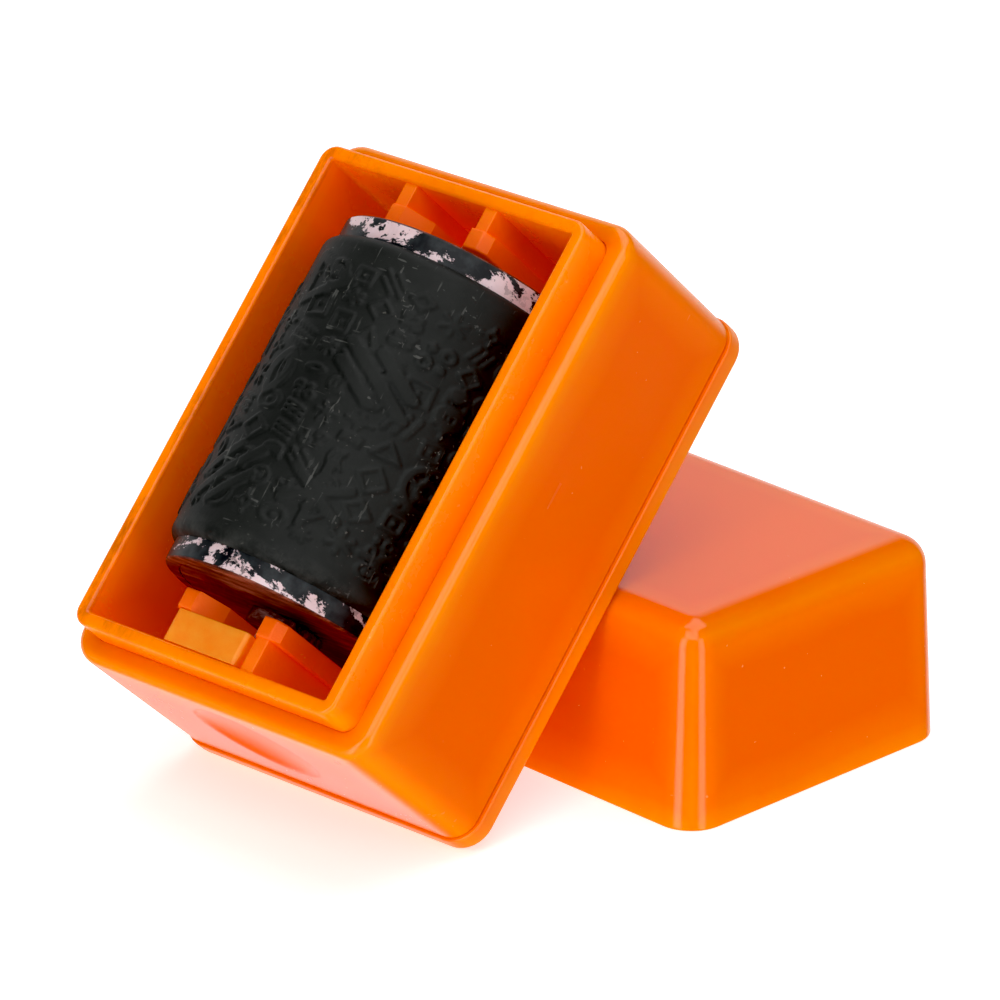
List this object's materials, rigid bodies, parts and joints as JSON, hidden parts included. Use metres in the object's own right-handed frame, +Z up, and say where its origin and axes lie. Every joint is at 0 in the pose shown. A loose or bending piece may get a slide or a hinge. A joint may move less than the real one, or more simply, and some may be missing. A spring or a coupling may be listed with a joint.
{
  "type": "roller privacy stamp with cap",
  "caption": "Hand-held roller stamp with an inked rubber sleeve in a rectangular shell, leaning on its loose protective cap.",
  "frame": {"origin": "on the ground, under the middle of the bounding box of the stamp and its cap", "axes": "+Z up; +X along the cap's long side; +Y from the stamp towards the cap it leans on"},
  "size_m": [0.0576, 0.0771, 0.0613],
  "materials": {
    "shell_orange": "gloss, slightly translucent",
    "frame_orange": "gloss, slightly translucent",
    "cover_orange": "gloss, slightly translucent",
    "keeper_orange": "satin, fine cut marks",
    "cap_orange": "gloss, slightly translucent",
    "sleeve_rubber": "matte, embossed",
    "drum_plastic": "satin, stained with dried ink",
    "sponge_foam": "matte open foam, soaked with ink",
    "disc_plastic": "matte, scratched and stained",
    "washer_plastic": "satin",
    "axle_plastic": "satin"
  },
  "bodies": {
    "stamp": {"outer_shell": "shell_orange", "inner_frame": "frame_orange", "back_cover": "cover_orange"},
    "roller": {"stamp_sleeve": "sleeve_rubber", "drum_core": "drum_plastic", "ink_sponge": "sponge_foam", "upper_end_disc": "disc_plastic", "lower_end_disc": "disc_plastic", "upper_washer": "washer_plastic", "lower_washer": "washer_plastic", "axle": "axle_plastic"},
    "keeper": {"axle_keeper": "keeper_orange"},
    "cap": {"cap": "cap_orange"}
  },
  "joints": [
    {"name": "roller_spin", "type": "hinge", "parent": "stamp", "child": "roller", "pos_m": [-0.00348, -0.01125, 0.0355], "axis": [-0.0451, 0.6792, 0.7325], "continuous": true},
    {"name": "keeper_slide", "type": "slide", "parent": "stamp", "child": "keeper", "axis": [0.0485, -0.7309, 0.6807], "range_m": [0, 0.009]},
    {"name": "cap_slide", "type": "slide", "parent": "stamp", "child": "cap", "axis": [0, 1, 0], "range_m": [0, 0.06]}
  ]
}
